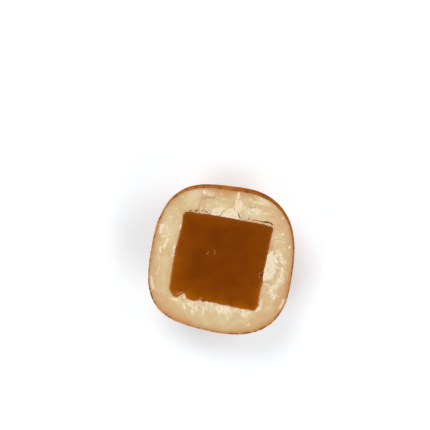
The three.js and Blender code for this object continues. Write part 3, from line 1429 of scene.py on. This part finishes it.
@dataclass
class CreamCoat:
    """The thick pale coat, with its torn and cracked cut face and the hollow for the caramel."""

    form: SweetForm
    block: BlockForm
    skin: GlazeSkin
    finish: CoatFinish

    # Points round and across the cut face, steps up the back, and how points crowd towards the caramel
    around: int = 1000
    across: int = 66
    up_the_back: int = 6
    crowding: float = 1.35

    # How far it reaches into the glaze, and how far down the first step into the hollow is
    tuck: float = 0.03
    wall: float = 0.5

    # The hollow's edge: how frayed it is, more on its low side, and where it stands back or in
    fray: float = 0.06
    low_fray: float = 0.03
    low_side: Span = (6.6, 7.1)
    frayed: Unevenness = Unevenness(0.7, 4, 11.0)
    edge_bumps: tuple[EdgeBump, ...] = (
        EdgeBump(-0.3, 6.6, 6.3, 0.3), EdgeBump(5.2, 6.6, 1.5, 0.15), EdgeBump(-7.3, 6.6, 0.5, -0.14),
        EdgeBump(-7.4, 4.5, 1.5, -0.16), EdgeBump(-7.7, -2.6, 3.6, 0.18), EdgeBump(-7.6, 0.3, 1.2, 0.09),
        EdgeBump(-7.75, -7.1, 0.7, -0.2), EdgeBump(7.0, 0.0, 6.0, -0.06), EdgeBump(6.9, -0.9, 0.5, -0.08),
        EdgeBump(6.85, -2.5, 0.4, 0.1), EdgeBump(6.75, -6.4, 0.6, 0.08), EdgeBump(-5.36, -7.25, 0.46, -0.82),
        EdgeBump(-5.9, -7.2, 0.3, -0.3), EdgeBump(-3.6, -7.3, 1.0, 0.09), EdgeBump(-2.6, -7.3, 0.2, -0.16),
        EdgeBump(-0.9, -7.35, 1.7, -0.16), EdgeBump(2.0, -7.4, 0.3, -0.18), EdgeBump(4.4, -7.4, 0.5, 0.08),
    )
    face: CutFace = field(init=False)

    def hollow_edge(self, angles: Array) -> Array:
        """The edge of the hollow at the cut, close on the caramel and slightly ragged.

        Args:
            angles: where the points are.

        Returns:
            Rows of x and y.
        """
        plain = self.block.section(angles, 0.0)
        fray = self.fray + self.low_fray * rise(-plain[:, 1], *self.low_side)
        back = fray * self.frayed.at(plain)
        for bump in self.edge_bumps:
            back += bump.at(plain)
        return self.block.section(angles, back)

    def build(self) -> bpy.types.Object:
        """Builds the coat: up its outside, across its cut face and down into the hollow.

        Returns:
            The piece.
        """
        angles = turn_of(self.around)
        cut = self.form.cut_level
        outside = self.form.back(angles, self.skin.thickest + self.tuck, self.up_the_back)
        outer = self.form.section(angles, self.skin.thickness(angles) - self.tuck, 0.0)[:, :2]
        inner = self.hollow_edge(angles)
        shares = 1.0 - (1.0 - np.linspace(0.0, 1.0, self.across)) ** self.crowding
        points = (outer + shares[:, None, None] * (inner - outer)).reshape(-1, 2)
        width = np.linalg.norm(inner - outer, axis=1)
        to_caramel = ((1.0 - shares[:, None]) * width).ravel()
        to_glaze = (shares[:, None] * width).ravel()
        self.face = CutFace(points, to_caramel, to_glaze)
        self.face.shape()
        face = at_level(points, cut + self.face.height).reshape(self.across, self.around, 3)
        levels = (cut - self.wall, cut - self.block.depth / 2, cut - self.block.depth)
        hollow = [at_level(inner, level) for level in levels]
        mesh = loft("coat", np.concatenate([np.stack(outside), face, np.stack(hollow)]))
        for mask, values in self.face.masks.items():
            store(mesh, mask, values, len(outside) * self.around)
        return place_piece(mesh, self.finish.material(), Layer.COAT)


@dataclass
class CaramelCentre:
    """The caramel block in the coat's hollow."""

    form: SweetForm
    block: BlockForm
    coat: CreamCoat
    finish: CaramelFinish

    # Points round and across the cut face, and how they crowd towards its middle
    around: int = 720
    across: int = 90
    crowding: float = 1.3

    # How far it reaches into the coat, and how far down it does so
    overlap: float = 0.02
    wall: float = 1.0

    # Its cut face: how far it lies under the cut and how wavy it is
    sunk: float = 0.02
    waves: Unevenness = Unevenness(2.2, 2, 2.0, 0.015)

    # The small hole at the right, whose flat bottom is a share of its width
    hole: Place = (6.58, -1.55)
    hole_radius: float = 0.32
    hole_bottom: float = 0.5
    hole_depth: float = 0.1

    # Smears of the coat
    smear_rise: float = 0.05
    smear_strength: float = 0.45
    smears: tuple[Line, ...] = (
        Line(0.13, ((-2.65, -7.0), (-2.4, -6.75)), 0.6),
        Line(0.06, ((-2.64, 0.48), (-2.36, 0.9)), 0.7),
        Line(0.06, ((-1.36, 0.68), (-1.48, 1.26)), 0.7),
        Line(0.07, ((6.3, -1.2), (6.22, -1.35))),
        Line(0.07, ((6.25, -1.7), (6.32, -1.9)), 0.8),
        Line(0.05, ((6.12, -0.15), (6.18, -0.22))),
        Line(0.2, ((-6.55, -6.5), (-6.3, -6.75), (-5.95, -6.6)), 0.3),
        Line(0.12, ((-6.5, -6.95), (-6.1, -6.85)), 0.35),
        Line(0.14, ((-6.3, -6.75), (-5.95, -6.5), (-5.6, -6.35)), 0.8),
    )

    # Amber along the edges, more towards the low and the left side and at the two right corners
    amber_width: float = 1.4
    amber_least: float = 0.15
    amber_low: float = 0.75
    amber_left: float = 0.4
    amber_corner: float = 0.4
    side_from: Span = (-7.0, 7.0)
    low_right_from: Span = (8.0, 14.0)
    high_right_from: Span = (9.0, 13.0)
    amber_patch: Tint = Tint(Patch(-6.3, -6.7, 1.2, 0.7), 0.4)
    amber_mean: float = 0.9
    amber_clouds: Unevenness = Unevenness(1.6, 3, 4.0, 0.4)

    # A pale line along the edges, and a broken shade along the top one
    edge_width: float = 0.2
    edge_pale: float = 0.13
    top_shade: float = 0.7
    top_from: Span = (5.0, 6.5)
    breaks: Unevenness = Unevenness(1.1, 2, 61.0)
    break_edge: Span = (-0.3, 0.2)

    def amber(self, points: Array, inwards: Array) -> Array:
        """How amber the cut face is.

        Args:
            points: rows of x and y.
            inwards: how far each row is from the edge.

        Returns:
            The amber's share at each row.
        """
        x, y = points.T
        low = self.amber_low * rise(-y, *self.side_from)
        left = self.amber_left * rise(-x, *self.side_from)
        corners = rise(x - y, *self.low_right_from) + rise(x + y, *self.high_right_from)
        sides = self.amber_least + low + left + self.amber_corner * corners
        amber = np.exp(-inwards / self.amber_width) * sides
        amber += self.amber_patch.strength * self.amber_patch.place.nearness(points).clip(0.0)
        return amber * (self.amber_mean + self.amber_clouds.at(points))

    def relief(self, points: Array, inwards: Array) -> tuple[Array, dict[Mask, Array]]:
        """Works out the cut face's relief.

        Args:
            points: rows of x and y.
            inwards: how far each row is from the edge.

        Returns:
            The height of each row above the cut, and the masks for the material.
        """
        smeared = np.max([smear.closeness(points) for smear in self.smears], axis=0)
        away = away_from(points, self.hole)
        in_hole = 1.0 - rise(away, self.hole_radius * self.hole_bottom, self.hole_radius)
        height = self.waves.at(points) - self.sunk + self.smear_rise * smeared - self.hole_depth * in_hole
        at_edge = hill(inwards, self.edge_width)
        shaded = self.top_shade * rise(points[:, 1], *self.top_from) * at_edge
        shaded *= rise(self.breaks.at(points), *self.break_edge)
        masks = {
            Mask.AMBER: self.amber(points, inwards),
            Mask.CRUMB: self.smear_strength * smeared + self.edge_pale * at_edge,
            # Painted shade in the hole and along the top edge
            Mask.CREVICE_SHADE: np.maximum(in_hole, shaded),
        }
        return height, {mask: np.clip(values, 0.0, 1.0) for mask, values in masks.items()}

    def build(self) -> bpy.types.Object:
        """Builds the block: from its underside up its walls and across its cut face.

        Returns:
            The piece.
        """
        angles = turn_of(self.around)
        cut = self.form.cut_level
        outline = self.block.section(angles, 0.0)
        square = rounded_square(angles, self.block.corner_fullness)
        edge = self.coat.hollow_edge(angles) + self.overlap * square
        middle = outline.mean(0)
        underside = cut - self.block.depth
        walls = [
            at_level(self.block.section(angles, -self.block.edge), underside),
            at_level(outline, underside + self.block.edge),
            at_level(edge, cut - self.wall),
        ]
        shares = (1.0 - np.linspace(0.0, 1.0, self.across)[:-1]) ** self.crowding
        points = (middle + shares[:, None, None] * (edge - middle)).reshape(-1, 2)
        to_side = np.linalg.norm(outline - middle, axis=1) * np.abs(square).max(1) / np.hypot(*square.T)
        height, masks = self.relief(points, ((1.0 - shares[:, None]) * to_side).ravel())
        face = at_level(points, cut + height).reshape(len(shares), self.around, 3)
        mesh = loft("caramel", np.concatenate([np.stack(walls), face]))
        for mask, values in masks.items():
            store(mesh, mask, values, len(walls) * self.around)
        return place_piece(mesh, self.finish.material(), Layer.CARAMEL)


@dataclass
class LooseCrumbs:
    """Small chips of the coat that lie on its cut face."""

    coat: CreamCoat
    finish: CrumbFinish
    seed: int = 11

    # How many lie where the coat crumbled and elsewhere, and where they may lie
    crowded: int = 30
    scattered: int = 8
    from_glaze: float = 0.7
    from_caramel: float = 0.15
    calm_below: float = 0.05

    # A chip's size, its length and breadth as shares of that, its flatness, unevenness and tilt
    size: Span = (0.05, 0.13)
    length: Span = (1.0, 1.5)
    breadth: Span = (0.8, 1.2)
    flatness: float = 0.4
    uneven: Span = (0.75, 1.25)
    tilt: float = 0.6

    @staticmethod
    def solid() -> tuple[Array, Array]:
        """A twenty-sided solid, which every chip starts from.

        Returns:
            Its points at 1 from its middle, and its triangles, counterclockwise seen from outside.
        """
        golden = (1.0 + math.sqrt(5.0)) / 2.0
        # Before it is scaled, its neighbouring points are 2 apart and all others over 3
        longest_side = 2.5
        ring = [(0.0, across, up * golden) for across in (-1.0, 1.0) for up in (-1.0, 1.0)]
        points = np.array([point[turn:] + point[:turn] for turn in range(3) for point in ring])
        faces = []
        for trio in itertools.combinations(range(len(points)), 3):
            corners = points[list(trio)]
            sides = np.linalg.norm(corners - np.roll(corners, 1, axis=0), axis=1)
            if sides.max() < longest_side:
                first, second, third = trio
                faces.append(trio if np.linalg.det(corners) > 0.0 else (first, third, second))
        return points / math.hypot(1.0, golden), np.array(faces)

    def chip(self, points: Array, chance: np.random.Generator) -> Array:
        """Shapes one chip.

        Args:
            points: the points that it starts from.
            chance: the source of its unevenness.

        Returns:
            The chip's points round its own middle.
        """
        size = between(self.size, chance.random() ** 2)
        length = between(self.length, chance.random())
        breadth = between(self.breadth, chance.random())
        uneven = between(self.uneven, chance.random((len(points), 1)))
        turn = Matrix.Rotation(chance.random() * math.tau, 3, "Z")
        tilt = Matrix.Rotation(self.tilt * (chance.random() - 0.5), 3, "X")
        stretch = np.array([length, breadth, self.flatness])
        return (points * uneven * stretch * size) @ np.array(turn @ tilt).T

    def build(self) -> bpy.types.Object:
        """Scatters the chips: most where the coat crumbled, a few elsewhere.

        Returns:
            The piece.
        """
        chance = np.random.default_rng(self.seed)
        face = self.coat.face
        whiteness = face.masks[Mask.CRUMB]
        inside = (face.to_glaze > self.from_glaze) & (face.to_caramel > self.from_caramel)
        torn = inside * whiteness ** 2
        calm = inside * (whiteness < self.calm_below)
        spots = [chance.choice(len(torn), self.crowded, p=torn / torn.sum())]
        spots.append(chance.choice(len(calm), self.scattered, p=calm / calm.sum()))
        places = at_level(face.points, self.coat.form.cut_level + face.height)[np.concatenate(spots)]
        shape, faces = self.solid()
        points = np.concatenate([place + self.chip(shape, chance) for place in places])
        starts = np.arange(len(places)) * len(shape)
        triangles = (starts[:, None, None] + faces).reshape(-1, 3)
        mesh = bpy.data.meshes.new("crumbs")
        mesh.from_pydata((points * MM).tolist(), [], triangles.tolist())
        mesh.update()
        return place_piece(mesh, self.finish.material())


@dataclass(frozen=True)
class Lamp:
    """A square soft light: degrees round from +X and above the floor, width, watts and distance."""

    name: str
    around: float
    up: float
    side: float
    power: float
    distance: float = 1400.0

    def hang(self, aim: Vector) -> None:
        """Hangs the light so that it faces a place.

        Args:
            aim: the place, in metres.
        """
        around = math.radians(self.around)
        up = math.radians(self.up)
        back = Vector((math.cos(around) * math.cos(up), math.sin(around) * math.cos(up), math.sin(up)))
        data = bpy.data.lights.new(self.name, "AREA")
        data.energy = self.power
        data.size = self.side * MM
        lamp = bpy.data.objects.new(self.name, data)
        lamp.location = aim + back * self.distance * MM
        lamp.rotation_euler = back.to_track_quat("Z", "Y").to_euler()
        bpy.context.scene.collection.objects.link(lamp)


@dataclass
class Studio:
    """Floor, surroundings, lights and camera."""

    form: SweetForm
    finish: FloorFinish
    floor_side: float = 4000.0
    lamps: tuple[Lamp, ...] = (
        Lamp("key", 115.0, 52.0, 700.0, 9.0),
        Lamp("left_fill", 215.0, 42.0, 750.0, 5.8),
        Lamp("right_fill", 330.0, 42.0, 750.0, 6.2),
        Lamp("far_fill", 35.0, 45.0, 750.0, 5.4),
    )

    # The surroundings' brightness at the horizon and overhead, and the height where it stops to fade
    horizon: float = 0.9
    overhead: float = 0.12
    fade_up_to: float = 0.8

    # The camera: its lens, and its roll, lean and the lean's direction in degrees
    lens: float = 130.0
    sensor: float = 36.0
    nearest: float = 10.0
    furthest: float = 20000.0
    roll: float = 8.7
    lean: float = 9.5
    lean_towards: float = 65.0

    # The picture: a pixel's size at the cut, and the pixel where the middle of the cut shows
    mm_per_pixel: float = 0.1605
    centre_column: float = 222.5
    centre_row: float = 259.7

    @property
    def middle(self) -> Vector:
        """The middle of the cut face, in metres."""
        return Vector((0.0, 0.0, self.form.cut_level * MM))

    def floor(self) -> None:
        """Lays a wide white floor."""
        half = self.floor_side / 2 * MM
        mesh = bpy.data.meshes.new("floor")
        corners = [(-half, -half, 0.0), (half, -half, 0.0), (half, half, 0.0), (-half, half, 0.0)]
        mesh.from_pydata(corners, [], [(0, 1, 2, 3)])
        mesh.materials.append(self.finish.material())
        piece = bpy.data.objects.new("floor", mesh)
        bpy.context.scene.collection.objects.link(piece)

    def sky(self) -> None:
        """Makes the surroundings: pale at the horizon and dim overhead."""
        world = bpy.data.worlds.new("studio")
        graph = NodeGraph(world, "Generated")
        up = graph.add("ShaderNodeSeparateXYZ", Vector=graph.place).outputs["Z"]
        fade = graph.add(
            "ShaderNodeMapRange",
            Value=up,
            From_Max=self.fade_up_to,
            To_Min=self.horizon,
            To_Max=self.overhead,
        )
        shine = graph.add("ShaderNodeBackground", Strength=fade.outputs["Result"])
        graph.add("ShaderNodeOutputWorld", Surface=shine.outputs[0])
        bpy.context.scene.world = world

    def camera(self) -> None:
        """Sets the camera to look down on the cut face as the photo does."""
        roll = math.radians(self.roll)
        right = Vector((math.cos(roll), math.sin(roll), 0.0))
        up = Vector((-math.sin(roll), math.cos(roll), 0.0))
        lean = math.radians(self.lean)
        towards = math.radians(self.lean_towards)
        back = Vector((0.0, 0.0, math.cos(lean)))
        back += math.sin(lean) * (math.cos(towards) * right + math.sin(towards) * up)
        side = up.cross(back).normalized()
        top = back.cross(side)
        pixel = self.mm_per_pixel * MM
        aim = self.middle
        aim -= side * (self.centre_column - IMAGE_SIDE / 2) * pixel
        aim += top * (self.centre_row - IMAGE_SIDE / 2) * pixel
        data = bpy.data.cameras.new("camera")
        data.lens = self.lens
        data.sensor_width = self.sensor
        data.clip_start = self.nearest * MM
        data.clip_end = self.furthest * MM
        eye = bpy.data.objects.new("camera", data)
        distance = self.lens / self.sensor * IMAGE_SIDE * pixel
        turned = Matrix((side, top, back)).transposed().to_4x4()
        eye.matrix_world = Matrix.Translation(aim + back * distance) @ turned
        bpy.context.scene.collection.objects.link(eye)
        bpy.context.scene.camera = eye

    def build(self) -> None:
        """Sets up the whole studio."""
        self.floor()
        self.sky()
        for lamp in self.lamps:
            lamp.hang(self.middle)
        self.camera()
        bpy.context.scene.view_settings.view_transform = "Standard"


def main() -> None:
    """Builds the sweet from the outside in, reporting each piece, and then the studio."""
    logging.basicConfig(level=logging.INFO)
    form = SweetForm()
    block = BlockForm()
    skin = GlazeSkin(form, GlazeFinish())
    coat = CreamCoat(form, block, skin, CoatFinish())
    caramel = CaramelCentre(form, block, coat, CaramelFinish())
    crumbs = LooseCrumbs(coat, CrumbFinish())
    for part in (skin, coat, caramel, crumbs):
        piece = part.build()
        log.info("%s: %d faces", piece.name, len(piece.data.polygons))
    Studio(form, FloorFinish()).build()


if __name__ == "__main__":
    main()
